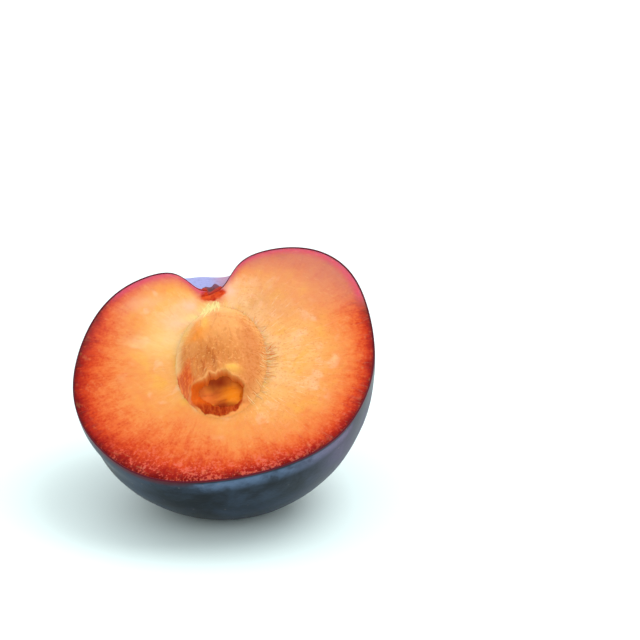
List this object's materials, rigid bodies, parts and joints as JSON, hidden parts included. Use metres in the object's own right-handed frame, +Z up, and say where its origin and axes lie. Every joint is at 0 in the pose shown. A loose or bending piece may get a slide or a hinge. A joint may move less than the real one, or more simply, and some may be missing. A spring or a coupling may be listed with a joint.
{
  "type": "plum half",
  "caption": "Half of a dark-skinned plum, cut from stalk end to blossom end, lying on its round back with the stone still in the flesh.",
  "frame": {"origin": "middle of the small flat on the round back that the half rests on", "axes": "+Z up from the surface it lies on, +X to the right as one faces the cut face, -Y the side that the cut face leans towards"},
  "size_m": [0.066, 0.0637, 0.05],
  "materials": {
    "flesh": null,
    "skin": null,
    "stone": "moist woody plum stone with orange flesh clinging to it"
  },
  "bodies": {
    "root": {"fruit_half": "flesh", "stone": "stone"}
  },
  "joints": []
}
